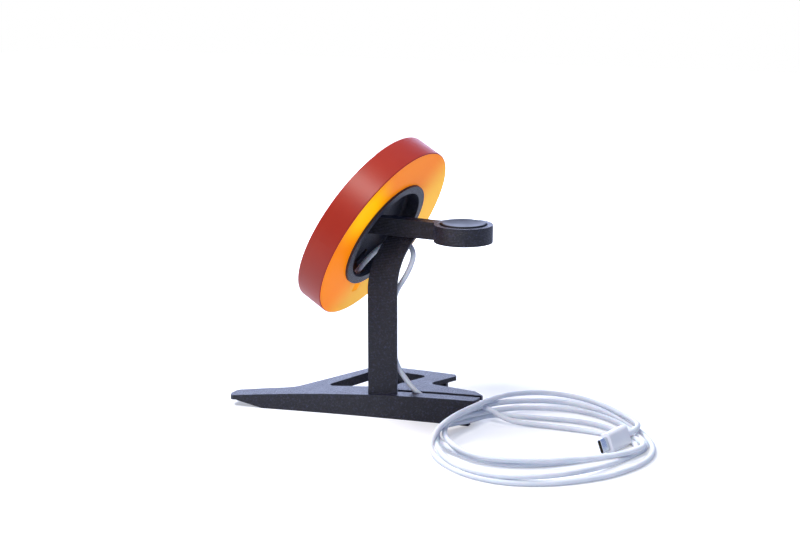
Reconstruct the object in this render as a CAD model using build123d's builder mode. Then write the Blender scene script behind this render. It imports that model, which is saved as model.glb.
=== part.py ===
"""Phone and watch charging stand, modelled at real size in millimetres.

Frame: +Z up, the phone side faces -Y, the watch side is at +Y, and +X is the side where the
upright strap meets the base. The origin lies on the table, under the middle of the stand.
"""
import os
from math import cos, pi, radians, sin, sqrt, tan

from build123d import *

# Driving dimensions: overall
STAND_LENGTH = 164.0            # base tip to the back of the watch ring
LEAN = 30.0                     # the phone leans back this far from upright, degrees

# Amber disc behind the phone
DISC_D = 118.0
DISC_T = 17.6
DISC_EDGE_R = 0.5
DISC_WEB_T = 5.6                # front web that carries the phone charger
HUB_HEIGHT = 112.7              # centre of the disc's back face above the table
HUB_Y = 11.4
SLOT_W = 7.0                    # radial slot for the charger's cable and plug
SLOT_START_R = 26.0
SLOT_END_R = 44.0
SLOT_END_GAP = 0.5              # between the slot's end and the cable's fold

# Hub cup, pushed into the disc from behind
CUP_D = 71.8
CUP_WALL = 5.0
CUP_PROUD = 1.4
CUP_FLOOR_T = 3.0
CUP_FIT = 0.2
CUP_INNER_FILLET = 2.0
NOTCH_W = 9.0                   # notch in the cup's wall over the cable
NOTCH_START = 1.9               # from the disc's back face
SLIT_ANGLES = (218.0, 322.0)    # snap slits in the cup's wall
SLIT_W = 3.0
SLIT_START = 4.5
SLIT_DEPTH = 3.5
LUG_GAP = 0.3
LUG_REACH = 1.2
VENT = (5.0, 12.0)              # oblong hole in the cup's floor
VENT_PLACE = (-5.2, -24.5)
VENT_TURN = 128.0

# Arm between the hub cup and the watch ring
ARM_W = 9.2
ARM_H = 10.5
ARM_RISE = 5.85                 # the arm's middle lies this far above the disc's centre

# Watch ring
RING_D = 35.0
RING_FLOOR_T = 3.0
WATCH_PUCK_D = 28.0
WATCH_PUCK_PROUD = 0.8
WATCH_FIT = 0.3
GLAND_D = 4.4
GLAND_BORE = 3.0
GLAND_L = 3.2
GLAND_GAP = 0.4

# Upright strap
STRAP_W = 17.9
STRAP_T = 2.6
STRAP_FOOT = (10.5, 15.7)       # middle of the strap where it meets the base
STRAP_TURN = 20.7               # the strap's broad side is turned from the arm by this, degrees
STRAP_TOP = (0.6, 24.8)         # middle of the strap where it meets the arm
STRAP_TOP_TURN = 2.0
STRAP_BEND_START = 80.0         # height where the straight part ends
STRAP_STATIONS = 6
TENON_L = 7.0
TENON_W = 14.0
TENON_T = 1.4
TENON_FIT = 0.15
FOOT_PAD_H = 1.2
SOCKET_WALL = 2.2

# Base: its top is an arch along the stand, given by its height at three places
TOP_Y = (-84.0, 0.0, 80.0)
TOP_Z = (6.5, 13.8, 16.3)
BASE_REAR = 73.7
PLATE_T = 3.0
RIM_T = 2.6                     # stiffening rim round the opening
RIM_DEPTH = 6.0
WALL_T = 3.0
WALL_FRONT = -75.0
FAR_WALL_SPAN = (-15.0, 34.0)
TOE_START = -59.0               # from here to the front the near wall lifts off the table
TOE_RISE = 4.2
PRONG_OVERHANG = 3.5
GROOVE_W = 4.0
GROOVE_BOTTOM = 6.6
RIB_WALL = 2.0
CORNER_R = 3.5

# Phone charger, a round magnetic puck
PUCK_D = 55.9
PUCK_T = 5.4
PUCK_FIT = 0.2
SHELL_FLOOR = 0.8
SHELL_WALL = 1.0
SHELL_LEDGE_H = 1.5
BOARD_T = 0.8
BOARD_R = 17.0
FERRITE_T = 0.8
FERRITE_R = 20.8
COIL_GAP = 0.3
COIL_R = (10.0, 20.2)
FACE_T = 0.9
FACE_FIT = 0.1
MAGNET_R = (22.0, 26.4)
MAGNET_COUNT = 16
MAGNET_GAP = 1.2
YOKE_T = 0.5

# Watch charger, a round puck that faces up
WATCH_WALL = 1.2
WATCH_FLOOR = 1.0
WATCH_FACE_T = 1.8
WATCH_DISH = 0.9
WATCH_LIP = 1.2
WATCH_BOARD_T = 1.0
WATCH_CARRIER_W = 3.0
WATCH_FERRITE_T = 1.2
WATCH_COIL_T = 1.6
WATCH_COIL_R = (5.2, 11.0)
WATCH_MAGNET_R = 4.2
WATCH_GAP = 0.3

# Cable, its reliefs and its plug
CABLE_D = 3.3
RELIEF_D = 4.6
RELIEF_TIP_WALL = 0.3
RELIEF_L = 6.3
RELIEF_SINK = 1.0               # the relief starts this far inside the shell's round side
PLUG_L = 20.0
PLUG_W = 12.2
PLUG_T = 6.5
PLUG_R = 2.6
PLUG_TAIL_R = 1.2
PLUG_MOUTH_R = 0.6
PLUG_MOUTH = (8.34, 2.56, 6.6)  # width, thickness and length of the metal mouth
PLUG_MOUTH_WALL = 0.35
PLUG_SEAT = 3.0
TONGUE = (6.7, 0.6)
TONGUE_BASE_L = 1.2
TONGUE_SETBACK = 0.8
PLUG_RELIEF_L = 6.5
PLUG_TAIL = (-12.8, 164.3)      # where the plug's housing ends and its relief starts
PLUG_HEADING = -13.0            # the plug's mouth points this way from +X, degrees
PLUG_ROLL = 22.0
COIL_H = 17.0
COIL_EDGE_R = 1.6

# Values that follow from those above
BASE_FRONT = -STAND_LENGTH / 2
WALL_REAR = BASE_REAR - PRONG_OVERHANG
ARM_UNDERSIDE = HUB_HEIGHT + ARM_RISE - ARM_H / 2
RING_Y = STAND_LENGTH / 2 - RING_D / 2
CUP_R = CUP_D / 2
CUP_INNER_R = CUP_R - CUP_WALL
CUP_FRONT = DISC_T - DISC_WEB_T  # the cup's front face seats on the disc's web
CUP_FLOOR_BACK = CUP_FRONT - CUP_FLOOR_T
RING_TOP = ARM_UNDERSIDE + ARM_H
WATCH_BOTTOM = ARM_UNDERSIDE + RING_FLOOR_T
WATCH_TOP = RING_TOP + WATCH_PUCK_PROUD
PUCK_R = PUCK_D / 2
PUCK_BACK = CUP_FRONT
PUCK_MID = PUCK_BACK + PUCK_T / 2
PUCK_INSIDE = PUCK_BACK + SHELL_FLOOR
FACE_BACK = PUCK_BACK + PUCK_T - FACE_T
LEDGE_FRONT = PUCK_INSIDE + SHELL_LEDGE_H
CABLE_R = CABLE_D / 2

# The disc's own frame: origin at the centre of its back face, z towards the phone, y up the disc
hub = Plane(
    origin=(0, HUB_Y, HUB_HEIGHT),
    x_dir=(1, 0, 0),
    z_dir=(0, -cos(radians(LEAN)), sin(radians(LEAN))),
)


def hub_point(x, y, z):
    """Return the point (x, y, z) of the disc's frame in the stand's frame."""
    return hub.from_local_coords(Vector(x, y, z))


def turned(radius, angle):
    """Return the point at a radius and an angle in degrees."""
    return (radius * cos(radians(angle)), radius * sin(radians(angle)))


os.makedirs("parts", exist_ok=True)

# Base, printed in one piece: a long near side and a triangular loop that ends in two prongs
near_side = [(1.6, BASE_REAR), (16.4, 6.3), (39.5, BASE_FRONT + 2.7)]
far_corner = (-45.4, -18.8)
far_prong = [(-43.3, 39.6), (-40.6, 41.2)]
prong_root = (-18.9, 32.1)
near_prong = [(-16.4, 66.0), (-10.8, BASE_REAR)]
toe = [(33.0, BASE_FRONT), (26.5, BASE_FRONT)]
elbow = (14.0, -46.5)
opening_points = [(6.6, -29.0), (-33.8, 24.7), (-37.4, -14.5)]
opening_bend = (-2.9, 11.4)
groove_start = (1.5, 22.0)
groove_end = (-8.4, BASE_REAR)

with BuildPart() as arch:
    with BuildSketch(Plane.YZ):
        with BuildLine():
            top = ThreePointArc(*zip(TOP_Y, TOP_Z))
            Polyline(top @ 0, (TOP_Y[0], -PLATE_T), (TOP_Y[2], -PLATE_T), top @ 1)
        make_face()
    extrude(amount=DISC_D / 2, both=True)


def arch_height(y):
    """Return the height of the base's arched top at a place along the stand."""
    centre = top.arc_center
    return centre.Y + sqrt(top.radius**2 - (y - centre.X) ** 2)


def arch_layer(depth):
    """Return the layer of the base that lies within a depth below its arched top."""
    return arch.part - Pos(0, 0, -depth) * arch.part


pad_top = arch_height(STRAP_FOOT[1]) + FOOT_PAD_H

with BuildPart() as plate:
    with BuildSketch():
        with BuildLine():
            flank = ThreePointArc(*near_side)
            Polyline(
                flank @ 1, *toe, elbow, far_corner, *far_prong, prong_root, *near_prong, flank @ 0
            )
        make_face()
        for place in (flank @ 0, flank @ 1, toe[1], far_corner, prong_root, near_prong[0]):
            fillet(vertices().sort_by_distance(place)[0], CORNER_R)
        fillet(vertices().sort_by_distance(elbow)[0], 4 * CORNER_R)
    extrude(amount=TOP_Z[2] + PLATE_T)
    add(arch_layer(PLATE_T), mode=Mode.INTERSECT)

with BuildPart() as opening:
    with BuildSketch():
        with BuildLine():
            Polyline(opening_points[0], opening_bend, *opening_points[1:], close=True)
        make_face()
        fillet(vertices().sort_by_distance(opening_bend)[0], 2 * CORNER_R)
        for place in opening_points:
            fillet(vertices().sort_by_distance(place)[0], CORNER_R)
    extrude(amount=TOP_Z[2] + PLATE_T)

with BuildPart() as rim:
    with BuildSketch():
        add(opening.faces().sort_by(Axis.Z)[0])
        offset(amount=RIM_T)
    extrude(amount=TOP_Z[2] + PLATE_T)
    add(arch_layer(RIM_DEPTH), mode=Mode.INTERSECT)

with BuildPart() as base:
    # Near wall under the flank, lifted off the table at the toe
    with BuildSketch():
        with BuildLine():
            ThreePointArc(*near_side)
            offset(amount=WALL_T, side=Side.RIGHT)
        make_face()
        with Locations((0, (WALL_FRONT + WALL_REAR) / 2)):
            Rectangle(DISC_D, WALL_REAR - WALL_FRONT, mode=Mode.INTERSECT)
    extrude(amount=TOP_Z[2] + PLATE_T)
    with BuildSketch(Plane.YZ):
        with BuildLine():
            Polyline((TOE_START, 0), (WALL_FRONT, TOE_RISE), (WALL_FRONT, 0), close=True)
        make_face()
    extrude(amount=DISC_D / 2, both=True, mode=Mode.SUBTRACT)
    # Far wall under the loop's far side
    with BuildSketch():
        with BuildLine():
            Line(far_corner, far_prong[0])
            offset(amount=WALL_T, side=Side.RIGHT)
        make_face()
        with Locations((0, sum(FAR_WALL_SPAN) / 2)):
            Rectangle(DISC_D, FAR_WALL_SPAN[1] - FAR_WALL_SPAN[0], mode=Mode.INTERSECT)
    extrude(amount=TOP_Z[2] + PLATE_T)
    # Rib that carries the cable groove
    with BuildSketch(Plane.XY.offset(GROOVE_BOTTOM - RIB_WALL)):
        with BuildLine():
            Line(groove_start, groove_end)
        trace(line_width=GROOVE_W + 2 * RIB_WALL)
        with Locations(groove_start):
            Circle(GROOVE_W / 2 + RIB_WALL)
        with Locations((0, WALL_REAR - STAND_LENGTH / 2)):
            Rectangle(DISC_D, STAND_LENGTH, mode=Mode.INTERSECT)
    extrude(amount=TOP_Z[2])
    # Socket for the strap's tenon
    with BuildSketch(Plane.XY.offset(pad_top - TENON_L - SOCKET_WALL)):
        with Locations(Location((*STRAP_FOOT, 0), (0, 0, 90 + STRAP_TURN))):
            Rectangle(TENON_W + 2 * SOCKET_WALL, TENON_T + 2 * SOCKET_WALL)
    extrude(amount=TENON_L + SOCKET_WALL)
    add(arch.part, mode=Mode.INTERSECT)
    add(plate.part)
    add(rim.part)
    add(opening.part, mode=Mode.SUBTRACT)
    # Pad under the strap, with the mortise
    with BuildSketch(Plane.XY.offset(pad_top - PLATE_T)):
        with Locations(Location((*STRAP_FOOT, 0), (0, 0, 90 + STRAP_TURN))):
            Rectangle(STRAP_W, STRAP_T)
    extrude(amount=PLATE_T)
    with BuildSketch(Plane.XY.offset(pad_top)):
        with Locations(Location((*STRAP_FOOT, 0), (0, 0, 90 + STRAP_TURN))):
            Rectangle(TENON_W + 2 * TENON_FIT, TENON_T + 2 * TENON_FIT)
    extrude(amount=-TENON_L, mode=Mode.SUBTRACT)
    # Cable groove, open at the near prong's end
    with BuildSketch(Plane.XY.offset(GROOVE_BOTTOM)):
        with BuildLine():
            Line(groove_start, groove_end)
        trace(line_width=GROOVE_W)
        with Locations(groove_start):
            Circle(GROOVE_W / 2)
    extrude(amount=TOP_Z[2], mode=Mode.SUBTRACT)
base.part.label = "base"
export_step(base.part, "parts/base.step")

# Upright, printed in one piece: strap, arm, hub cup and watch ring
bend_run = Vector(STRAP_TOP[0] - STRAP_FOOT[0], STRAP_TOP[1] - STRAP_FOOT[1])
bend_rise = ARM_UNDERSIDE - STRAP_BEND_START
bend_radius = (bend_run.length**2 + bend_rise**2) / (2 * bend_run.length)


def strap_plane(height):
    """Return the level plane in the middle of the strap at a height, x along its broad side."""
    rise = max(height - STRAP_BEND_START, 0.0)
    shift = bend_run.normalized() * (bend_radius - sqrt(bend_radius**2 - rise**2))
    turn = STRAP_TURN + (STRAP_TOP_TURN - STRAP_TURN) * (1 - cos(pi * rise / bend_rise)) / 2
    return Plane(
        origin=(STRAP_FOOT[0] + shift.X, STRAP_FOOT[1] + shift.Y, height),
        x_dir=(-sin(radians(turn)), cos(radians(turn)), 0),
        z_dir=(0, 0, 1),
    )


with BuildPart() as upright:
    # Strap
    with BuildSketch(strap_plane(pad_top)):
        Rectangle(STRAP_W, STRAP_T)
    extrude(amount=STRAP_BEND_START - pad_top)
    for station in range(STRAP_STATIONS):
        with BuildSketch(strap_plane(STRAP_BEND_START + bend_rise * station / (STRAP_STATIONS - 1))):
            Rectangle(STRAP_W, STRAP_T)
    loft()
    with BuildSketch(strap_plane(pad_top)):
        Rectangle(TENON_W, TENON_T)
    extrude(amount=-(TENON_L - TENON_FIT))
    # Arm, from the cup's floor into the watch ring
    with BuildSketch(Plane.XZ.offset(-RING_Y)):
        with Locations((0, ARM_UNDERSIDE + ARM_H / 2)):
            Rectangle(ARM_W, ARM_H)
    extrude(amount=RING_Y)
    with BuildSketch(hub.offset(CUP_FLOOR_BACK + CUP_FLOOR_T / 2)):
        Circle(CUP_R)
    extrude(amount=DISC_D, mode=Mode.SUBTRACT)
    # Hub cup
    with BuildSketch(hub.offset(CUP_FLOOR_BACK)):
        Circle(CUP_R)
    extrude(amount=CUP_FLOOR_T)
    with BuildSketch(hub.offset(-CUP_PROUD)):
        Circle(CUP_R)
        Circle(CUP_INNER_R, mode=Mode.SUBTRACT)
    extrude(amount=CUP_PROUD + CUP_FLOOR_BACK)
    rings = upright.edges().filter_by(GeomType.CIRCLE)
    corner = rings.filter_by(lambda edge: abs(edge.radius - CUP_INNER_R) < CUP_FIT)
    fillet(corner.sort_by(Axis(hub.origin, hub.z_dir))[-1], CUP_INNER_FILLET)
    with BuildSketch(hub.offset(NOTCH_START)):
        with Locations((0, -CUP_R)):
            Rectangle(NOTCH_W, 2 * (CUP_WALL + CUP_INNER_FILLET))
    extrude(amount=CUP_FRONT - NOTCH_START, mode=Mode.SUBTRACT)
    with BuildSketch(hub.offset(SLIT_START)):
        for angle in SLIT_ANGLES:
            with Locations(Location((*turned(CUP_R, angle), 0), (0, 0, angle))):
                Rectangle(3 * CUP_WALL, SLIT_W)
    extrude(amount=SLIT_DEPTH, mode=Mode.SUBTRACT)
    with BuildSketch(hub.offset(CUP_FLOOR_BACK)):
        with Locations(Location((*VENT_PLACE, 0), (0, 0, VENT_TURN))):
            SlotOverall(VENT[1], VENT[0])
    extrude(amount=CUP_FLOOR_T, mode=Mode.SUBTRACT)
    # Watch ring with a pocket and a notch for the charger's cord inlet
    with BuildSketch(Plane.XY.offset(ARM_UNDERSIDE)):
        with Locations((0, RING_Y)):
            Circle(RING_D / 2)
    extrude(amount=ARM_H)
    with BuildSketch(Plane.XY.offset(WATCH_BOTTOM)):
        with Locations((0, RING_Y)):
            Circle(WATCH_PUCK_D / 2 + WATCH_FIT)
        with Locations((-RING_D / 2, RING_Y)):
            Rectangle(RING_D / 2, GLAND_D + 2 * GLAND_GAP)
    extrude(amount=ARM_H, mode=Mode.SUBTRACT)
upright.part.label = "upright"
export_step(upright.part, "parts/upright.step")

# Amber disc
with BuildPart() as disc:
    with BuildSketch(hub):
        Circle(DISC_D / 2)
    extrude(amount=DISC_T)
    fillet(disc.edges(), DISC_EDGE_R)
    with BuildSketch(hub):
        Circle(CUP_R + CUP_FIT)
    extrude(amount=CUP_FRONT, mode=Mode.SUBTRACT)
    with BuildSketch(hub):
        Circle(PUCK_R + PUCK_FIT)
        with Locations((0, -(SLOT_START_R + SLOT_END_R) / 2)):
            Rectangle(SLOT_W, SLOT_END_R - SLOT_START_R)
        fillet(vertices().group_by(Axis.Y)[0], SLOT_W / 4)
    extrude(amount=DISC_T, mode=Mode.SUBTRACT)
    # Lugs that snap into the cup's slits
    with BuildSketch(hub.offset(SLIT_START + LUG_GAP)):
        for angle in SLIT_ANGLES:
            with Locations(Location((*turned(CUP_R, angle), 0), (0, 0, angle))):
                Rectangle(3 * CUP_WALL, SLIT_W - 2 * LUG_GAP)
        Circle(CUP_R + 2 * CUP_FIT, mode=Mode.INTERSECT)
        Circle(CUP_R - LUG_REACH, mode=Mode.SUBTRACT)
    extrude(amount=SLIT_DEPTH - 2 * LUG_GAP)
disc.part.label = "disc"
export_step(disc.part, "parts/disc.step")

# Phone charger: a metal shell with the electronics under a white face
with BuildPart() as puck_shell:
    with BuildSketch(hub.offset(PUCK_BACK)):
        Circle(PUCK_R)
    extrude(amount=PUCK_T)
    with BuildSketch(hub.offset(LEDGE_FRONT)):
        Circle(PUCK_R - SHELL_WALL)
    extrude(amount=PUCK_T, mode=Mode.SUBTRACT)
    with BuildSketch(hub.offset(PUCK_INSIDE)):
        Circle(MAGNET_R[0])
    extrude(amount=PUCK_T, mode=Mode.SUBTRACT)
    rim_edge = puck_shell.edges().filter_by(GeomType.CIRCLE).sort_by(Axis(hub.origin, hub.z_dir))[0]
    fillet(rim_edge, SHELL_FLOOR / 2)
puck_shell.part.label = "puck_shell"
export_step(puck_shell.part, "parts/puck_shell.step")

with BuildPart() as puck_face:
    with BuildSketch(hub.offset(FACE_BACK)):
        Circle(PUCK_R - SHELL_WALL - FACE_FIT)
    extrude(amount=FACE_T)
    fillet(puck_face.edges().sort_by(Axis(hub.origin, hub.z_dir))[-1], FACE_T / 3)
puck_face.part.label = "puck_face"
export_step(puck_face.part, "parts/puck_face.step")

with BuildPart() as puck_yoke:
    with BuildSketch(hub.offset(LEDGE_FRONT)):
        Circle(MAGNET_R[1])
        Circle(MAGNET_R[0], mode=Mode.SUBTRACT)
    extrude(amount=YOKE_T)
puck_yoke.part.label = "puck_yoke"
export_step(puck_yoke.part, "parts/puck_yoke.step")

with BuildPart() as puck_magnets:
    with BuildSketch(hub.offset(LEDGE_FRONT + YOKE_T)):
        Circle(MAGNET_R[1])
        Circle(MAGNET_R[0], mode=Mode.SUBTRACT)
        with PolarLocations(sum(MAGNET_R) / 2, MAGNET_COUNT):
            Rectangle(2 * (MAGNET_R[1] - MAGNET_R[0]), MAGNET_GAP, mode=Mode.SUBTRACT)
    extrude(amount=FACE_BACK - LEDGE_FRONT - YOKE_T)
puck_magnets.part.label = "puck_magnets"
export_step(puck_magnets.part, "parts/puck_magnets.step")

with BuildPart() as puck_board:
    with BuildSketch(hub.offset(PUCK_INSIDE)):
        Circle(BOARD_R)
    extrude(amount=BOARD_T)
puck_board.part.label = "puck_board"
export_step(puck_board.part, "parts/puck_board.step")

with BuildPart() as puck_ferrite:
    with BuildSketch(hub.offset(PUCK_INSIDE + BOARD_T)):
        Circle(FERRITE_R)
    extrude(amount=FERRITE_T)
puck_ferrite.part.label = "puck_ferrite"
export_step(puck_ferrite.part, "parts/puck_ferrite.step")

with BuildPart() as puck_coil:
    with BuildSketch(hub.offset(PUCK_INSIDE + BOARD_T + FERRITE_T)):
        Circle(COIL_R[1])
        Circle(COIL_R[0], mode=Mode.SUBTRACT)
    extrude(amount=FACE_BACK - COIL_GAP - PUCK_INSIDE - BOARD_T - FERRITE_T)
puck_coil.part.label = "puck_coil"
export_step(puck_coil.part, "parts/puck_coil.step")

# Watch charger
watch_axis = Plane((0, RING_Y, 0))
watch_inside = WATCH_BOTTOM + WATCH_FLOOR
watch_face_bottom = WATCH_TOP - WATCH_FACE_T
watch_coil_z = watch_face_bottom - WATCH_COIL_T
watch_ferrite_z = watch_coil_z - WATCH_FERRITE_T
watch_carrier_z = watch_inside + WATCH_BOARD_T

with BuildPart() as watch_housing:
    with BuildSketch(watch_axis.offset(WATCH_BOTTOM)):
        Circle(WATCH_PUCK_D / 2)
    extrude(amount=watch_face_bottom - WATCH_BOTTOM)
    with BuildSketch(watch_axis.offset(watch_inside)):
        Circle(WATCH_PUCK_D / 2 - WATCH_WALL)
    extrude(amount=WATCH_TOP, mode=Mode.SUBTRACT)
    # Cord inlet on the far side
    inlet_plane = Plane(
        origin=(-WATCH_PUCK_D / 2 + WATCH_WALL / 2, RING_Y, WATCH_BOTTOM + GLAND_D / 2 + GLAND_GAP),
        z_dir=(-1, 0, 0),
    )
    with BuildSketch(inlet_plane):
        Circle(GLAND_D / 2)
    extrude(amount=GLAND_L)
    with BuildSketch(inlet_plane.offset(WATCH_WALL)):
        Circle(GLAND_BORE / 2)
    extrude(amount=GLAND_L, mode=Mode.SUBTRACT)
watch_housing.part.label = "watch_housing"
export_step(watch_housing.part, "parts/watch_housing.step")

with BuildPart() as watch_face:
    with BuildSketch(Plane.XZ.offset(-RING_Y)):
        with BuildLine():
            edge = WATCH_PUCK_D / 2
            lip_side = WATCH_LIP * (1 - sin(radians(45)))
            bottom = Line((0, watch_face_bottom), (edge, watch_face_bottom))
            side = Line(bottom @ 1, (edge, WATCH_TOP - WATCH_LIP))
            lip = ThreePointArc(
                side @ 1, (edge - lip_side, WATCH_TOP - lip_side), (edge - WATCH_LIP, WATCH_TOP)
            )
            dish = TangentArc(
                (0, WATCH_TOP - WATCH_DISH), (edge - 1.5 * WATCH_LIP, WATCH_TOP), tangent=(1, 0)
            )
            Line(lip @ 1, dish @ 1)
            Line(dish @ 0, bottom @ 0)
        make_face()
    revolve(axis=Axis((0, RING_Y, 0), (0, 0, 1)))
watch_face.part.label = "watch_face"
export_step(watch_face.part, "parts/watch_face.step")

with BuildPart() as watch_board:
    with BuildSketch(watch_axis.offset(watch_inside)):
        Circle(WATCH_PUCK_D / 2 - WATCH_WALL - WATCH_GAP)
    extrude(amount=WATCH_BOARD_T)
watch_board.part.label = "watch_board"
export_step(watch_board.part, "parts/watch_board.step")

with BuildPart() as watch_carrier:
    with BuildSketch(watch_axis.offset(watch_carrier_z)):
        Circle(WATCH_COIL_R[1])
        Circle(WATCH_COIL_R[1] - WATCH_CARRIER_W, mode=Mode.SUBTRACT)
    extrude(amount=watch_ferrite_z - watch_carrier_z)
watch_carrier.part.label = "watch_carrier"
export_step(watch_carrier.part, "parts/watch_carrier.step")

with BuildPart() as watch_ferrite:
    with BuildSketch(watch_axis.offset(watch_ferrite_z)):
        Circle(WATCH_COIL_R[1])
    extrude(amount=WATCH_FERRITE_T)
watch_ferrite.part.label = "watch_ferrite"
export_step(watch_ferrite.part, "parts/watch_ferrite.step")

with BuildPart() as watch_coil:
    with BuildSketch(watch_axis.offset(watch_coil_z)):
        Circle(WATCH_COIL_R[1])
        Circle(WATCH_COIL_R[0], mode=Mode.SUBTRACT)
    extrude(amount=WATCH_COIL_T)
watch_coil.part.label = "watch_coil"
export_step(watch_coil.part, "parts/watch_coil.step")

with BuildPart() as watch_magnet:
    with BuildSketch(watch_axis.offset(watch_coil_z)):
        Circle(WATCH_MAGNET_R)
    extrude(amount=WATCH_COIL_T)
watch_magnet.part.label = "watch_magnet"
export_step(watch_magnet.part, "parts/watch_magnet.step")

# Phone charger's cable: it leaves the relief, turns back through the disc's slot and the cup's
# notch, loops under the arm, runs down behind the strap and along the base's groove to the coil
relief_tip = PUCK_R + RELIEF_L
slot_y = -(SLOT_END_R - CABLE_R - SLOT_END_GAP)


def groove_point(y, z):
    """Return a point above the groove's middle line."""
    share = (y - groove_start[1]) / (groove_end[1] - groove_start[1])
    return (groove_start[0] + share * (groove_end[0] - groove_start[0]), y, z)


groove_rest = GROOVE_BOTTOM + CABLE_R
cable_points = [
    hub_point(0, -relief_tip, PUCK_MID),
    hub_point(0, slot_y, PUCK_MID),
    hub_point(-0.3, slot_y, 5.4),
    hub_point(-1.5, -29.0, 5.0),
    (-7.0, 2.0, 96.2),
    (-8.3, 12.0, 104.5),
    (-6.8, 20.5, 109.0),
    (-3.2, 31.0, 103.2),
    (0.3, 28.0, 90.5),
    (2.5, 19.0, 76.5),
    (3.5, 17.6, 60.0),
    (3.9, 18.2, 45.0),
    (3.0, 21.2, 31.8),
    groove_point(26.5, 22.5),
    groove_point(34.5, 13.8),
    groove_point(45.5, groove_rest + 0.2),
    groove_point(59.0, groove_rest + 0.3),
    groove_point(70.5, groove_rest + 0.7),
    groove_point(78.5, groove_rest + 1.2),
]
coil_outer = [
    (33.0, 60.8), (50.0, 67.5), (67.0, 80.5), (79.0, 104.0), (77.5, 133.0), (61.5, 161.0),
    (35.0, 179.5), (4.0, 187.5), (-28.0, 176.0), (-54.0, 148.0), (-74.0, 120.0), (-72.5, 94.0),
    (-48.0, 79.0), (-20.0, 76.2), (0.0, 76.2), (13.0, 66.0),
]
coil_inner = [
    (38.0, 75.5), (50.5, 88.0), (53.5, 108.0), (45.5, 127.0), (30.0, 145.5), (12.0, 163.8),
    (-5.0, 172.0), (-21.0, 170.5), (-27.5, 159.0), (-23.0, 141.0), (-19.5, 118.0), (-11.0, 95.0),
    (-3.0, 82.5), (16.0, 77.2),
]
coil_side = [(58.0, 11.0), (74.0, 16.2), (85.0, 12.5), (98.0, 8.6), (130.0, 7.2), (170.0, 8.0), (190.0, 8.4)]


def bend_radii(points):
    """Return the cable's bend radii: the shorter run's share over the tangent of half the turn."""
    corners = [Vector(*point) for point in points]
    radii = []
    for before, corner, after in zip(corners, corners[1:], corners[2:]):
        arriving = corner - before
        leaving = after - corner
        half_turn = radians(arriving.get_angle(leaving)) / 2
        radii.append(0.45 * min(arriving.length, leaving.length) / tan(half_turn))
    return radii


cable_radii = bend_radii(cable_points)
print("cable bend radii", [round(radius, 1) for radius in cable_radii])

with BuildPart() as cable_coil:
    with BuildSketch():
        with BuildLine():
            Spline(*coil_outer, periodic=True)
        make_face()
        with BuildLine():
            Spline(*coil_inner, periodic=True)
        make_face(mode=Mode.SUBTRACT)
    extrude(amount=COIL_H)
    with BuildSketch(Plane.YZ):
        with BuildLine():
            crest = Spline(*coil_side)
            Polyline(crest @ 0, (coil_side[0][0], 0), (coil_side[-1][0], 0), crest @ 1)
        make_face()
    extrude(amount=STAND_LENGTH / 2, both=True, mode=Mode.INTERSECT)
    fillet(cable_coil.faces().sort_by(Axis.Z)[-1].edges(), COIL_EDGE_R)
cable_coil.part.label = "cable_coil"
export_step(cable_coil.part, "parts/cable_coil.step")

with BuildPart() as cable_run:
    with BuildLine() as cable_line:
        FilletPolyline(*cable_points, radius=cable_radii)
    with BuildSketch(Plane(origin=cable_points[0], z_dir=cable_line.line % 0)):
        Circle(CABLE_R)
    sweep()
    add(cable_coil.part, mode=Mode.SUBTRACT)
cable_run.part.label = "cable_run"
export_step(cable_run.part, "parts/cable_run.step")
cable_length = sum(edge.length for edge in cable_line.edges())
print("cable run", round(cable_length, 1))
print("volume share", round(cable_run.part.volume / (cable_length * pi * CABLE_R**2), 3))

relief_axis = Plane(origin=hub_point(0, 0, PUCK_MID), z_dir=-hub.y_dir)
with BuildPart() as cable_relief:
    with BuildSketch(relief_axis.offset(PUCK_R - RELIEF_SINK)):
        Circle(RELIEF_D / 2)
    with BuildSketch(relief_axis.offset(relief_tip)):
        Circle(CABLE_R + RELIEF_TIP_WALL)
    loft()
    with BuildSketch(hub):
        Circle(PUCK_R)
    extrude(amount=DISC_T, mode=Mode.SUBTRACT)
cable_relief.part.label = "cable_relief"
export_step(cable_relief.part, "parts/cable_relief.step")

# Plug at the cable's other end, standing on its narrow edge
plug_height = (
    (PLUG_W / 2 - PLUG_R) * cos(radians(PLUG_ROLL))
    + (PLUG_T / 2 - PLUG_R) * sin(radians(PLUG_ROLL))
    + PLUG_R
)
heading = Vector(*turned(1, PLUG_HEADING))
sideways = Vector(*turned(1, PLUG_HEADING - 90))
plug_plane = Plane(
    origin=(*PLUG_TAIL, plug_height),
    x_dir=Vector(0, 0, 1) * cos(radians(PLUG_ROLL)) + sideways * sin(radians(PLUG_ROLL)),
    z_dir=heading,
)
mouth_w, mouth_t, mouth_l = PLUG_MOUTH

with BuildPart() as plug_housing:
    with BuildSketch(plug_plane):
        RectangleRounded(PLUG_W, PLUG_T, PLUG_R)
    extrude(amount=PLUG_L)
    fillet(plug_housing.faces().sort_by(Axis(plug_plane.origin, heading))[0].edges(), PLUG_TAIL_R)
    fillet(plug_housing.faces().sort_by(Axis(plug_plane.origin, heading))[-1].edges(), PLUG_MOUTH_R)
    with BuildSketch(plug_plane.offset(PLUG_L - PLUG_SEAT)):
        SlotOverall(mouth_w, mouth_t)
    extrude(amount=PLUG_SEAT, mode=Mode.SUBTRACT)
plug_housing.part.label = "plug_housing"
export_step(plug_housing.part, "parts/plug_housing.step")

with BuildPart() as plug_mouth:
    with BuildSketch(plug_plane.offset(PLUG_L - PLUG_SEAT)):
        SlotOverall(mouth_w, mouth_t)
        SlotOverall(mouth_w - 2 * PLUG_MOUTH_WALL, mouth_t - 2 * PLUG_MOUTH_WALL, mode=Mode.SUBTRACT)
    extrude(amount=PLUG_SEAT + mouth_l)
plug_mouth.part.label = "plug_mouth"
export_step(plug_mouth.part, "parts/plug_mouth.step")

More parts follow.
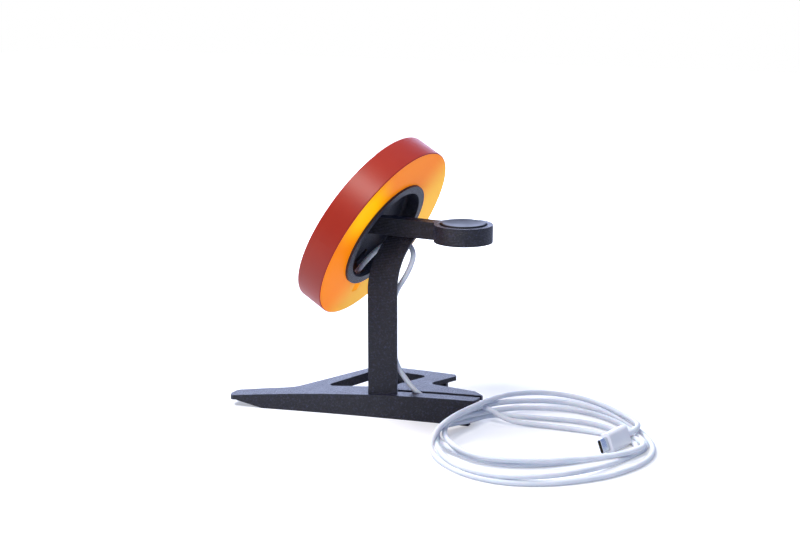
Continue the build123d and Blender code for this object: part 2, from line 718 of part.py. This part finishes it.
with BuildPart() as plug_contacts:
    with BuildSketch(plug_plane.offset(PLUG_L - PLUG_SEAT)):
        SlotOverall(mouth_w - 2 * PLUG_MOUTH_WALL, mouth_t - 2 * PLUG_MOUTH_WALL)
    extrude(amount=TONGUE_BASE_L)
    with BuildSketch(plug_plane.offset(PLUG_L - PLUG_SEAT)):
        Rectangle(*TONGUE)
    extrude(amount=PLUG_SEAT + mouth_l - TONGUE_SETBACK)
plug_contacts.part.label = "plug_contacts"
export_step(plug_contacts.part, "parts/plug_contacts.step")

with BuildPart() as plug_relief:
    with BuildSketch(plug_plane):
        Circle(RELIEF_D / 2)
    with BuildSketch(plug_plane.offset(-PLUG_RELIEF_L)):
        Circle(CABLE_R + RELIEF_TIP_WALL)
    loft()
plug_relief.part.label = "plug_relief"
export_step(plug_relief.part, "parts/plug_relief.step")

with BuildPart() as cable_tail:
    with BuildSketch(plug_plane.offset(-PLUG_RELIEF_L)):
        Circle(CABLE_R)
    extrude(amount=-2 * PLUG_RELIEF_L)
    add(cable_coil.part, mode=Mode.SUBTRACT)
cable_tail.part.label = "cable_tail"
export_step(cable_tail.part, "parts/cable_tail.step")
print("tail length", round(cable_tail.part.volume / (pi * CABLE_R**2), 2))
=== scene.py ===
import math

import bpy
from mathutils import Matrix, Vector


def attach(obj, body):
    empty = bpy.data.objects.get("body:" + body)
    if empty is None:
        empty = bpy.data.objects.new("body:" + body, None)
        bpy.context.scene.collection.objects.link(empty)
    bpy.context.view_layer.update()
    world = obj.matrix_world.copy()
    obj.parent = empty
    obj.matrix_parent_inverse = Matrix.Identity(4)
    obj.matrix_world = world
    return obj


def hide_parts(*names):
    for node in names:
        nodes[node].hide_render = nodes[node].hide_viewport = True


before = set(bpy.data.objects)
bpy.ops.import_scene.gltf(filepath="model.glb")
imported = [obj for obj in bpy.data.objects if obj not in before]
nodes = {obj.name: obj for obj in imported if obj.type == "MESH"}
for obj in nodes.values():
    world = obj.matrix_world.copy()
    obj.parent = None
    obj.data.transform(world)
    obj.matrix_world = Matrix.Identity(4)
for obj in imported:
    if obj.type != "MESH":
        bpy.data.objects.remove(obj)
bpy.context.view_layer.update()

# Looks of a phone and watch charging stand. Lengths on the object are typed in millimetres, and MM
# turns them to metres. The camera, the floor and the lamps are placed in metres. The stand's own
# frame is used all through: +Z up, the phone side faces -Y, the watch side is at +Y.
MM = 0.001
scene = bpy.context.scene

# Camera, a little above the disc's top, on the watch side
camera_data = bpy.data.cameras.new("camera")
camera_data.lens = 58.5
camera_data.sensor_width = 36.0
camera = bpy.data.objects.new("camera", camera_data)
camera.location = (0.6796, 0.3889, 0.2673)
camera.rotation_euler = (math.radians(77.33), 0.0, math.radians(118.36))
scene.collection.objects.link(camera)
scene.camera = camera

# Charging cable. It leaves the phone charger's relief in the disc's slot, folds back through the
# hub cup's notch, loops under the arm, runs down behind the strap and along the base's groove, and
# ends in five loose turns on the table and a plug.
CABLE_D = 3.3
run_points = [
    (0.0, -18.456, 90.389), (0.0, -22.256, 83.807), (-0.3, -14.202, 79.157), (-1.6, -8.2, 88.0),
    (-3.6, -3.9, 94.0), (-6.3, 2.2, 101.0), (-8.0, 11.2, 107.0), (-7.0, 20.5, 109.6),
    (-3.2, 31.0, 103.2),
    (0.3, 28.0, 90.5), (2.5, 19.0, 76.5), (3.5, 17.6, 60.0), (3.9, 18.2, 45.0), (3.0, 21.2, 31.8),
    (0.64, 26.5, 22.5), (-0.89, 34.5, 13.8), (-3.0, 45.5, 8.45), (-5.59, 59.0, 8.55),
    (-7.79, 70.5, 8.95), (-9.32, 78.5, 9.45),
]
turn_points = [
    # innermost turn
    (-9.5, 86.0, 5.5), (-10.8, 93.5, 3.0), (-14.0, 102.0, 1.9), (-16.8, 114.7, 1.7),
    (-19.1, 130.8, 1.7), (-20.2, 147.3, 1.8), (-17.7, 160.5, 1.8), (-12.3, 170.8, 1.8),
    (-2.6, 174.6, 2.0), (9.7, 167.5, 2.0), (23.4, 155.9, 1.8), (36.9, 143.2, 1.8),
    (49.8, 127.7, 1.9), (55.9, 112.2, 2.2), (55.0, 95.3, 2.9), (51.0, 82.1, 3.7), (45.0, 71.6, 4.9),
    # second turn
    (31.7, 62.8, 5.5), (18.4, 63.5, 5.0), (4.4, 72.0, 4.4), (-11.7, 74.7, 3.1), (-21.9, 81.7, 2.0),
    (-25.7, 96.1, 1.8), (-29.6, 110.7, 1.8), (-33.7, 128.4, 1.8), (-31.8, 145.6, 1.8),
    (-22.1, 163.7, 1.9), (-6.9, 178.1, 5.2), (5.1, 178.7, 5.4), (20.1, 169.2, 5.3),
    (30.4, 158.3, 5.1), (42.5, 142.4, 5.1), (52.5, 125.7, 5.2), (58.2, 110.2, 5.4),
    (58.0, 95.4, 6.0), (51.3, 82.2, 7.1), (37.7, 71.1, 7.1),
    # third turn
    (22.4, 65.6, 7.8), (9.4, 69.6, 8.2), (-8.8, 75.6, 6.6), (-30.1, 83.8, 4.2), (-43.8, 98.2, 2.5),
    (-51.8, 116.3, 2.0), (-49.5, 135.5, 1.9), (-40.1, 152.7, 2.0), (-22.7, 169.9, 2.3),
    (-10.5, 178.7, 1.9), (3.4, 176.0, 1.7), (27.1, 168.9, 2.2), (49.0, 159.6, 3.8),
    (67.7, 146.8, 5.4), (76.4, 130.2, 4.9), (78.2, 110.6, 4.6), (71.4, 91.4, 4.8),
    (59.5, 78.3, 5.8),
    # fourth turn
    (46.4, 70.3, 7.4), (37.5, 68.5, 10.3), (20.5, 69.2, 11.6), (-1.3, 72.7, 11.0),
    (-24.2, 77.5, 8.4), (-43.1, 86.2, 5.5), (-57.3, 99.4, 3.2), (-63.5, 115.1, 2.0),
    (-59.3, 133.2, 1.7), (-46.3, 152.1, 1.7), (-28.8, 171.0, 1.7), (-12.2, 181.8, 1.7),
    (5.6, 185.4, 1.7), (23.0, 182.2, 1.7), (41.7, 173.9, 1.7), (57.5, 160.8, 1.7),
    (70.2, 145.3, 1.7), (78.6, 124.9, 1.7), (77.2, 102.5, 1.7), (66.4, 83.0, 1.7), (59.6, 73.8, 4.6),
    # outermost turn, which ends in the plug
    (55.3, 72.5, 9.4), (42.9, 70.6, 12.2), (26.9, 71.7, 14.0), (8.8, 75.0, 14.6),
    (-10.9, 76.9, 13.6), (-33.3, 78.4, 10.9), (-54.9, 83.3, 6.9), (-69.0, 93.3, 4.3),
    (-73.4, 110.1, 3.2), (-66.0, 129.7, 3.5), (-50.2, 148.3, 4.8), (-39.0, 160.5, 6.0),
    (-29.0, 167.6, 6.4), (-19.13, 165.76, 6.14),
]


def round_tube(name, points, radius):
    """Return a curve object: a round tube along a smooth line near the points, all in mm.

    The radius is set at the points and not as the bevel's depth, so that the box that Blender gives
    for the curve is the tube's own.
    """
    data = bpy.data.curves.new(name, "CURVE")
    data.dimensions = "3D"
    data.resolution_u = 8
    data.bevel_depth = 1.0
    data.bevel_resolution = 5
    data.use_fill_caps = True
    spline = data.splines.new("NURBS")
    spline.points.add(len(points) - 1)
    for control, place in zip(spline.points, points):
        control.co = (place[0] * MM, place[1] * MM, place[2] * MM, 1.0)
        control.radius = radius * MM
    spline.order_u = 3
    spline.use_endpoint_u = True
    curve = bpy.data.objects.new(name, data)
    scene.collection.objects.link(curve)
    return curve


cable = round_tube("charging_cable", run_points + turn_points, CABLE_D / 2)
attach(cable, "root")
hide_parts("cable_run", "cable_coil", "cable_tail")


# Materials
def linear(hex_colour):
    """Return an sRGB hex colour as linear red, green, blue and alpha."""
    channels = [int(hex_colour[start:start + 2], 16) / 255 for start in (1, 3, 5)]
    return [c / 12.92 if c <= 0.04045 else ((c + 0.055) / 1.055) ** 2.4 for c in channels] + [1.0]


def add_node(tree, kind, settings=None, inputs=None):
    """Add a node: settings are its own properties, inputs are values or sockets to link from."""
    node = tree.nodes.new(kind)
    for name, value in (settings or {}).items():
        setattr(node, name, value)
    for name, value in (inputs or {}).items():
        if isinstance(value, bpy.types.NodeSocket):
            tree.links.new(value, node.inputs[name])
        else:
            node.inputs[name].default_value = value
    return node


def new_material(name, colour, **sockets):
    """Return a material, its node tree, its shader and the object's coordinates.

    The colour is the base colour wherever no texture is linked to it.
    """
    material = bpy.data.materials.new(name)
    material.use_nodes = True
    tree = material.node_tree
    shader = tree.nodes["Principled BSDF"]
    shader.inputs["Base Color"].default_value = linear(colour)
    for socket, value in sockets.items():
        shader.inputs[socket.replace("_", " ")].default_value = value
    place = add_node(tree, "ShaderNodeTexCoord").outputs["Object"]
    return material, tree, shader, place


def per_size(size):
    """Return the texture scale whose features are about a size in mm."""
    return 1.0 / (size * MM)


def per_pitch(pitch):
    """Return the wave scale whose bands repeat after a pitch in mm."""
    return 2 * math.pi / (20 * pitch * MM)


def noise(tree, place, size, detail=3.0, **inputs):
    """Return a noise whose features are about a size in mm."""
    values = {"Vector": place, "Scale": per_size(size), "Detail": detail, **inputs}
    return add_node(tree, "ShaderNodeTexNoise", None, values).outputs["Fac"]


def rings(tree, place, pitch, **inputs):
    """Return rings round the Z axis that repeat after a pitch in mm."""
    values = {"Vector": place, "Scale": per_pitch(pitch), **inputs}
    settings = {"wave_type": "RINGS", "rings_direction": "Z"}
    return add_node(tree, "ShaderNodeTexWave", settings, values).outputs["Fac"]


def calculate(tree, operation, *values):
    """Return the result of a maths node."""
    return add_node(
        tree, "ShaderNodeMath", {"operation": operation}, dict(enumerate(values))
    ).outputs[0]


def spread(tree, value, low, high, start=0.0, end=1.0, soft=False):
    """Return low where a value is at its start and high at its end, with soft ends on request."""
    settings = {"interpolation_type": "SMOOTHSTEP" if soft else "LINEAR"}
    inputs = {"Value": value, "From Min": start, "From Max": end, "To Min": low, "To Max": high}
    return add_node(tree, "ShaderNodeMapRange", settings, inputs).outputs["Result"]


def blend(tree, factor, first, second):
    """Return the mix of two colours, each a socket or a hex colour."""
    first, second = (linear(c) if isinstance(c, str) else c for c in (first, second))
    return add_node(
        tree, "ShaderNodeMix", {"data_type": "RGBA"}, {0: factor, 6: first, 7: second}
    ).outputs[2]


def colour_ramp(tree, factor, stops):
    """Return the colour output of a ramp through (position, hex colour) stops."""
    ramp = add_node(tree, "ShaderNodeValToRGB", None, {"Fac": factor})
    elements = ramp.color_ramp.elements
    for element, (position, colour) in zip(elements, (stops[0], stops[-1])):
        element.position = position
        element.color = linear(colour)
    for position, colour in stops[1:-1]:
        elements.new(position).color = linear(colour)
    return ramp.outputs["Color"]


def about_axis(tree, place, centre, tilt):
    """Return the coordinates from a centre, with Z along an axis tilted about X."""
    inputs = {"Vector": place, "Location": centre, "Rotation": (tilt, 0.0, 0.0)}
    return add_node(
        tree, "ShaderNodeMapping", {"vector_type": "TEXTURE"}, inputs
    ).outputs["Vector"]


def bump(tree, shader, height, depth):
    """Give a shader a bump of a depth in mm from a height."""
    inputs = {"Height": height, "Distance": depth * MM, "Strength": 1.0}
    node = add_node(tree, "ShaderNodeBump", None, inputs)
    tree.links.new(node.outputs["Normal"], shader.inputs["Normal"])


# Nylon powder print, dyed black: a fine sugary grain catches the light, and faint layers run level
GRAIN_SIZE = 1.3
LAYER_PITCH = 0.9
LAYER_SHARE = 0.28
PRINT_RELIEF = 0.55
printed_nylon, tree, shader, place = new_material(
    "sintered_nylon", "#0F0F17", Specular_IOR_Level=0.48, Sheen_Weight=0.14, Sheen_Roughness=0.35
)
shader.inputs["Sheen Tint"].default_value = linear("#B9C6FF")
grain = noise(tree, place, GRAIN_SIZE, 5.0, Roughness=0.75)
layers = add_node(
    tree, "ShaderNodeTexWave", {"bands_direction": "Z"},
    {"Vector": place, "Scale": per_pitch(LAYER_PITCH), "Distortion": 0.6, "Detail": 1.0},
)
print_colour = colour_ramp(tree, grain, [(0.35, "#06060B"), (0.52, "#0E0E18"), (0.68, "#35354E")])
tree.links.new(print_colour, shader.inputs["Base Color"])
layer_height = calculate(tree, "MULTIPLY", layers.outputs["Fac"], LAYER_SHARE)
bump(tree, shader, calculate(tree, "ADD", grain, layer_height), PRINT_RELIEF)
cloud = noise(tree, place, 9.0, 2.0)
tree.links.new(spread(tree, cloud, 0.35, 0.48), shader.inputs["Roughness"])

# Amber resin, cast clear: light soaks in a little, and the back half has a painted glow: it emits
# light though it is no lamp, most of all in a painted yellow spot on the +X side of the hub cup, and
# its painted light turns paler towards -X and downwards. The front half, behind the phone, is plain
# amber with a tenth of the painted glow.
HUB = Vector((0.0, 11.4, 112.7)) * MM
LEAN = math.radians(30.0)
DISC_TILT = math.radians(90.0) - LEAN
RESIN_SOAK = (1.0, 0.42, 0.1)
# Centre, core and reach of the painted glow spot
PAINTED_GLOW_SPOT = Vector((42.0, 24.0, 0.0)) * MM
PAINTED_GLOW_CORE = 5.0 * MM
PAINTED_GLOW_REACH = 27.0 * MM
# Start, end and slope of the painted paleness on the back face
PAINTED_PALE_START = 10.0 * MM
PAINTED_PALE_END = -35.0 * MM
PAINTED_PALE_SLOPE = 0.5
BACK_DEPTH = 3.0 * MM
FRONT_DEPTH = 14.0 * MM
amber_resin, tree, shader, place = new_material(
    "amber_resin", "#E8772A", Roughness=0.4, Specular_IOR_Level=0.06, Subsurface_Weight=0.2,
    Subsurface_Scale=0.0015,
)
shader.inputs["Subsurface Radius"].default_value = RESIN_SOAK
hub_axes = add_node(
    tree, "ShaderNodeSeparateXYZ", None, {"Vector": about_axis(tree, place, HUB, DISC_TILT)}
)
flat_place = add_node(
    tree, "ShaderNodeCombineXYZ", None, {"X": hub_axes.outputs["X"], "Y": hub_axes.outputs["Y"]}
)
spot_distance = add_node(
    tree, "ShaderNodeVectorMath", {"operation": "DISTANCE"},
    {0: flat_place.outputs["Vector"], 1: PAINTED_GLOW_SPOT},
)
# Painted glow: how far a point lies inside the painted yellow spot
in_painted_glow_spot = spread(
    tree, spot_distance.outputs["Value"], 1.0, 0.0, start=PAINTED_GLOW_CORE, end=PAINTED_GLOW_REACH, soft=True
)
# Painted glow colour: orange at the spot's edge, yellow at its core
painted_glow_colour = blend(tree, in_painted_glow_spot, "#FC8606", "#FFB800")
# Painted light: the back colour turns paler yellow towards -X and downwards
tilted = calculate(
    tree, "MULTIPLY_ADD", hub_axes.outputs["Y"], PAINTED_PALE_SLOPE, hub_axes.outputs["X"]
)
painted_paleness = spread(tree, tilted, 0.0, 1.0, start=PAINTED_PALE_START, end=PAINTED_PALE_END, soft=True)
painted_back_colour = blend(tree, painted_paleness, painted_glow_colour, "#FFBC38")
in_front = spread(
    tree, hub_axes.outputs["Z"], 0.0, 1.0, start=BACK_DEPTH, end=FRONT_DEPTH, soft=True
)
amber_and_painted_glow_colour = blend(tree, in_front, painted_back_colour, "#C3580D")
# Painted glow: the back face emits its own colour though it is no lamp, more in the spot, and the
# front half keeps a tenth of it
painted_back_glow = spread(tree, in_painted_glow_spot, 0.44, 0.6)
painted_body_glow = calculate(tree, "MULTIPLY", painted_back_glow, spread(tree, in_front, 1.0, 0.1))
tree.links.new(amber_and_painted_glow_colour, shader.inputs["Base Color"])
tree.links.new(amber_and_painted_glow_colour, shader.inputs["Emission Color"])
tree.links.new(painted_body_glow, shader.inputs["Emission Strength"])
bump(tree, shader, noise(tree, place, 0.8), 0.012)

# The same resin round the rim, sanded: it looks deep brick red, with a soft broad highlight
sanded_amber, tree, shader, place = new_material(
    "sanded_amber_resin", "#A42505", Roughness=0.41, Specular_IOR_Level=0.38, Subsurface_Weight=0.15,
    Subsurface_Scale=0.0015,
)
shader.inputs["Subsurface Radius"].default_value = RESIN_SOAK
rim_colour = colour_ramp(tree, noise(tree, place, 30.0, 2.0), [(0.3, "#A02304"), (0.7, "#A92906")])
tree.links.new(rim_colour, shader.inputs["Base Color"])
bump(tree, shader, noise(tree, place, 0.5), 0.02)

# Satin anodised aluminium, turned: fine rings round the charger's axis
anodised, tree, shader, place = new_material(
    "anodised_aluminium", "#C9CBCE", Metallic=1.0, Roughness=0.34
)
turning = rings(
    tree, about_axis(tree, place, HUB, DISC_TILT), 0.3, Distortion=0.4, Detail=2.0
)
bump(tree, shader, turning, 0.004)

# White silicone skin over the charger's face: matte, with the faintest orange-peel
soft_white, tree, shader, place = new_material(
    "white_silicone", "#BFBFBE", Roughness=0.5, IOR=1.42, Subsurface_Weight=0.1, Subsurface_Scale=0.002
)
bump(tree, shader, noise(tree, place, 0.5), 0.006)

# Cable sheath, extruded thermoplastic rubber: smooth and white, with soft waves along its skin
sheath, tree, shader, place = new_material(
    "extruded_sheath", "#E9EBF0", Roughness=0.42, IOR=1.48, Subsurface_Weight=0.12,
    Subsurface_Scale=0.0015,
)
skin_colour = colour_ramp(tree, noise(tree, place, 14.0, 1.0), [(0.3, "#DEE4EC"), (0.7, "#EBEFF3")])
tree.links.new(skin_colour, shader.inputs["Base Color"])
bump(tree, shader, noise(tree, place, 0.7), 0.006)

# Moulded polycarbonate of the plug's housing: glossy white with a trace of moulding texture
moulded_white, tree, shader, place = new_material(
    "moulded_polycarbonate", "#ECEDF1", Roughness=0.24, IOR=1.58, Subsurface_Weight=0.08,
    Subsurface_Scale=0.0015,
)
bump(tree, shader, noise(tree, place, 0.9), 0.004)

# Stainless steel, drawn and tumbled: bright, with fine marks along the draw
DRAWN_STRETCH = (0.08, 1.0, 1.0)
drawn_steel, tree, shader, place = new_material(
    "drawn_steel", "#CFD2D6", Metallic=1.0, Roughness=0.24
)
stretched = add_node(
    tree, "ShaderNodeMapping", None, {"Vector": place, "Scale": DRAWN_STRETCH}
)
bump(tree, shader, noise(tree, stretched.outputs["Vector"], 0.12, 2.0), 0.003)

# Gold flash over nickel on the plug's contacts
gold_flash, tree, shader, place = new_material(
    "gold_flash", "#E3B65A", Metallic=1.0, Roughness=0.22
)
bump(tree, shader, noise(tree, place, 0.1), 0.002)

# Nickel plate on the magnets: bright, a little warm, with soft dimples
nickel_plate, tree, shader, place = new_material(
    "nickel_plate", "#C4C0B8", Metallic=1.0, Roughness=0.2
)
bump(tree, shader, noise(tree, place, 0.6), 0.006)

# Circuit board: green solder mask over copper traces, which show as paler green bands
TRACE_CELL = 3.0
solder_mask, tree, shader, place = new_material("solder_mask", "#1E6A3C", Roughness=0.3, IOR=1.5)
traces = add_node(
    tree, "ShaderNodeTexBrick", {"offset": 0.5},
    {
        "Vector": place, "Scale": per_size(TRACE_CELL), "Mortar Size": 0.06,
        "Color1": linear("#1B6238"), "Color2": linear("#20703F"), "Mortar": linear("#3B9A5C"),
    },
)
tree.links.new(traces.outputs["Color"], shader.inputs["Base Color"])
bump(tree, shader, traces.outputs["Fac"], 0.006)

# Sintered ferrite: a dull dark ceramic with fine pits
sintered_ferrite, tree, shader, place = new_material("sintered_ferrite", "#2C2B2D", Roughness=0.7)
bump(tree, shader, noise(tree, place, 0.25), 0.02)


def wound_copper(name, centre, tilt, pitch):
    """Return enamelled copper wire wound flat round a centre, its turns a pitch in mm apart."""
    material, tree, shader, place = new_material(name, "#B8683A", Metallic=1.0, Roughness=0.3)
    turns = rings(tree, about_axis(tree, place, centre, tilt), pitch)
    wire_colour = colour_ramp(tree, turns, [(0.1, "#6A3218"), (0.6, "#C77743")])
    tree.links.new(wire_colour, shader.inputs["Base Color"])
    bump(tree, shader, turns, 0.15)
    return material


phone_winding = wound_copper("wound_copper", HUB, DISC_TILT, 0.8)
RING_AXIS = Vector((0.0, 64.5, 0.0)) * MM
watch_winding = wound_copper("wound_fine_copper", RING_AXIS, 0.0, 0.5)

# Dark satin polycarbonate of the watch charger's body: a fine spark-eroded texture
satin_dark, tree, shader, place = new_material(
    "textured_polycarbonate", "#26262B", Roughness=0.42, IOR=1.58
)
bump(tree, shader, noise(tree, place, 0.35), 0.014)

# The watch charger's dished face: a smoother mould than its body, dulled by faint smudges
polished_dark, tree, shader, place = new_material(
    "polished_polycarbonate", "#1C1D22", Specular_IOR_Level=0.12
)
smudges = spread(tree, noise(tree, place, 6.0), 0.38, 0.52)
tree.links.new(smudges, shader.inputs["Roughness"])
bump(tree, shader, noise(tree, place, 1.2), 0.003)

# Black liquid-crystal polymer of the plug's tongue: dull, with flow marks
tongue_black, tree, shader, place = new_material("moulded_tongue", "#17171A", Roughness=0.5)
bump(tree, shader, noise(tree, place, 0.2), 0.008)

finishes = {
    "base": printed_nylon, "upright": printed_nylon, "disc": amber_resin,
    "puck_shell": anodised, "puck_face": soft_white, "puck_yoke": drawn_steel,
    "puck_magnets": nickel_plate, "puck_board": solder_mask, "puck_ferrite": sintered_ferrite,
    "puck_coil": phone_winding, "cable_relief": sheath, "plug_relief": sheath,
    "plug_housing": moulded_white, "plug_mouth": drawn_steel, "plug_contacts": tongue_black,
    "watch_housing": satin_dark, "watch_face": polished_dark, "watch_board": solder_mask,
    "watch_carrier": satin_dark, "watch_ferrite": sintered_ferrite, "watch_coil": watch_winding,
    "watch_magnet": nickel_plate,
}
for node_name, finish in finishes.items():
    mesh = nodes[node_name].data
    mesh.materials.clear()
    mesh.materials.append(finish)
cable.data.materials.append(sheath)

# The sanded finish covers the disc's faces that lie furthest from its axis
RIM_REACH = 58.5 * MM
disc_mesh = nodes["disc"].data
disc_mesh.materials.append(sanded_amber)
disc_axis = Vector((0.0, -math.cos(LEAN), math.sin(LEAN)))
to_world = nodes["disc"].matrix_world
for face in disc_mesh.polygons:
    offset = to_world @ face.center - HUB
    offset = offset - disc_axis * offset.dot(disc_axis)
    if offset.length > RIM_REACH:
        face.material_index = 1

# Gold contacts on both sides of the plug's tongue: each is a small plate, sunk a little into the
# tongue and drawn in at its top
PLUG_TAIL = Vector((-12.8, 164.3, 6.089))
PLUG_HEADING = math.radians(-13.0)
PLUG_ROLL = math.radians(22.0)
TONGUE_T = 0.6
CONTACT_COUNT = 12
CONTACT_PITCH = 0.5
CONTACT_W = 0.26
CONTACT_L = 3.4
CONTACT_T = 0.06
CONTACT_START = 21.6
CONTACT_SINK = 0.02
CONTACT_INSET = 0.04
PLATE_CORNERS = ((0, -1), (1, -1), (1, 1), (0, 1))
PLATE_FACES = ((0, 1, 5, 4), (1, 2, 6, 5), (2, 3, 7, 6), (3, 0, 4, 7), (4, 5, 6, 7), (3, 2, 1, 0))
along = Vector((math.cos(PLUG_HEADING), math.sin(PLUG_HEADING), 0.0))
beside = Vector((math.sin(PLUG_HEADING), -math.cos(PLUG_HEADING), 0.0))
across = Vector((0.0, 0.0, 1.0)) * math.cos(PLUG_ROLL) + beside * math.sin(PLUG_ROLL)
through = along.cross(across)
corners = []
faces = []
for side in (-1, 1):
    for index in range(CONTACT_COUNT):
        middle = PLUG_TAIL + across * ((index - (CONTACT_COUNT - 1) / 2) * CONTACT_PITCH)
        first = len(corners)
        for level, inset in (
            (TONGUE_T / 2 - CONTACT_SINK, 0.0), (TONGUE_T / 2 + CONTACT_T, CONTACT_INSET)
        ):
            for length_share, width_share in PLATE_CORNERS:
                reach = CONTACT_START + inset + length_share * (CONTACT_L - 2 * inset)
                offset = width_share * (CONTACT_W / 2 - inset)
                corner = middle + along * reach + across * offset + through * (side * level)
                corners.append(corner * MM)
        for face in PLATE_FACES:
            order = face if side > 0 else face[::-1]
            faces.append([first + corner_index for corner_index in order])
contact_mesh = bpy.data.meshes.new("plug_gold_contacts")
contact_mesh.from_pydata([tuple(corner) for corner in corners], [], faces)
contact_mesh.update()
contact_mesh.materials.append(gold_flash)
contacts = bpy.data.objects.new("plug_gold_contacts", contact_mesh)
scene.collection.objects.link(contacts)
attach(contacts, "root")

# Floor: pale paper that the camera sees as white, more so far from the stand, so that it has no
# horizon. All its lengths are in metres.
FLOOR_REACH = 3.0
NEAR_FLOOR = 0.2
FAR_FLOOR = 0.5
floor_material = bpy.data.materials.new("white_paper")
floor_material.use_nodes = True
tree = floor_material.node_tree
floor_shader = tree.nodes["Principled BSDF"]
floor_shader.inputs["Base Color"].default_value = linear("#DFE2E8")
floor_shader.inputs["Roughness"].default_value = 0.8
floor_shader.inputs["Emission Color"].default_value = linear("#FFFFFF")
seen = add_node(tree, "ShaderNodeLightPath")
floor_place = add_node(tree, "ShaderNodeTexCoord").outputs["Object"]
from_middle = add_node(tree, "ShaderNodeVectorMath", {"operation": "LENGTH"}, {0: floor_place})
whiteness = spread(
    tree, from_middle.outputs["Value"], 0.36, 1.0, start=NEAR_FLOOR, end=FAR_FLOOR, soft=True
)
floor_glow = calculate(tree, "MULTIPLY", seen.outputs["Is Camera Ray"], whiteness)
tree.links.new(floor_glow, floor_shader.inputs["Emission Strength"])

floor_mesh = bpy.data.meshes.new("floor")
floor_mesh.from_pydata(
    [(-FLOOR_REACH, -FLOOR_REACH, 0.0), (FLOOR_REACH, -FLOOR_REACH, 0.0),
     (FLOOR_REACH, FLOOR_REACH, 0.0), (-FLOOR_REACH, FLOOR_REACH, 0.0)],
    [], [(0, 1, 2, 3)],
)
floor_mesh.materials.append(floor_material)
floor = bpy.data.objects.new("floor", floor_mesh)
scene.collection.objects.link(floor)

# World: white where the camera sees it, bluish and dimmer as a light and in reflections
SKY_LIGHT = 0.3
SKY_MIRRORED = 0.75
world = bpy.data.worlds.new("studio")
scene.world = world
world.use_nodes = True
tree = world.node_tree
background = tree.nodes["Background"]
seen = add_node(tree, "ShaderNodeLightPath")
camera_ray = seen.outputs["Is Camera Ray"]
mirrored = calculate(
    tree, "MAXIMUM", seen.outputs["Is Glossy Ray"], seen.outputs["Is Transmission Ray"]
)
sky_light = spread(tree, mirrored, SKY_LIGHT, SKY_MIRRORED)
tree.links.new(calculate(tree, "MAXIMUM", camera_ray, sky_light), background.inputs["Strength"])
tree.links.new(blend(tree, camera_ray, "#B4CAFF", "#FFFFFF"), background.inputs["Color"])

# Square soft lamps that face the stand: place and size in metres, watts and colour
LAMP_AIM = Vector((0.0, 0.05, 0.06))
lamps = {
    "key_lamp": ((0.32, -0.66, 1.13), 0.35, 13.5, "#FDFDFF"),
    "top_lamp": ((-0.4, -0.45, 1.15), 0.6, 6.0, "#F0F4FF"),
    "near_lamp": ((0.65, 0.14, 1.09), 0.3, 7.5, "#FFFAF4"),
    "far_lamp": ((-0.95, -0.55, 0.34), 0.7, 6.5, "#CFDAFF"),
}
for lamp_name, (lamp_place, size, watts, colour) in lamps.items():
    lamp_data = bpy.data.lights.new(lamp_name, "AREA")
    lamp_data.shape = "SQUARE"
    lamp_data.size = size
    lamp_data.energy = watts
    lamp_data.color = linear(colour)[:3]
    lamp = bpy.data.objects.new(lamp_name, lamp_data)
    lamp.location = lamp_place
    lamp.rotation_euler = (LAMP_AIM - Vector(lamp_place)).to_track_quat("-Z", "Y").to_euler()
    scene.collection.objects.link(lamp)

scene.view_settings.view_transform = "Standard"
